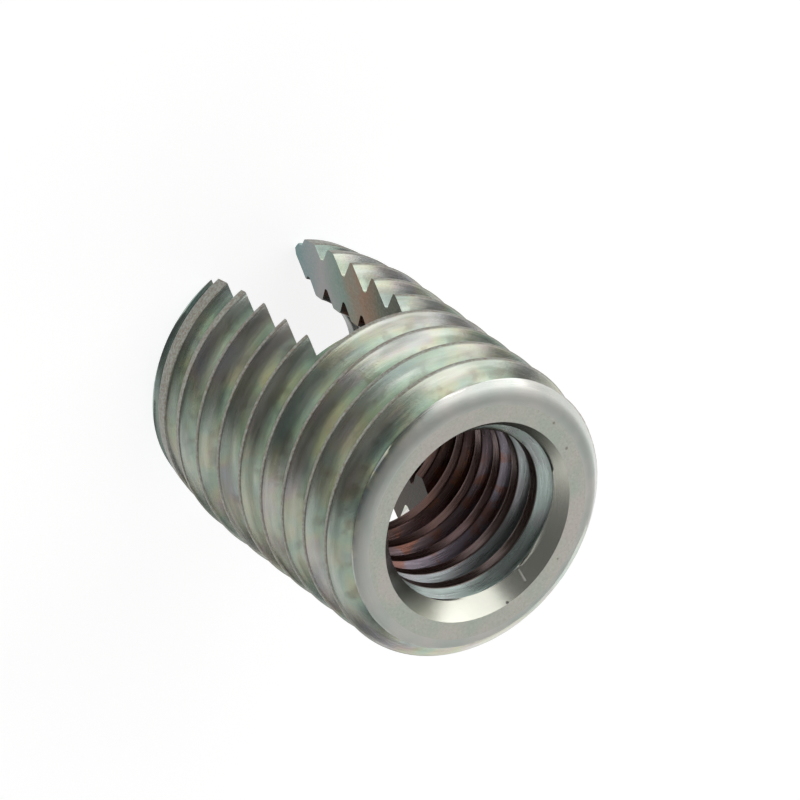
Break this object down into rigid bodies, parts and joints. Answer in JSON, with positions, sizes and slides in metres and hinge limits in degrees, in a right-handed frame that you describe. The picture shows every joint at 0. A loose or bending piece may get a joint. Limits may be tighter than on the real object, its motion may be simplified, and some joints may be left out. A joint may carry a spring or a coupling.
{
  "type": "slotted self-tapping threaded insert",
  "caption": "One-piece steel sleeve with a coarse outside cutting thread, a tapped bore and a cross slot at its leading end.",
  "frame": {"origin": "centre of the slotted end, on the surface that the insert stands on", "axes": "+Z along the bore axis toward the plain end, the cross slot runs along Y and is open across X"},
  "size_m": [0.0118, 0.0118, 0.015],
  "materials": {
    "plated_steel": "satin"
  },
  "bodies": {
    "root": {"insert": "plated_steel"}
  },
  "joints": []
}
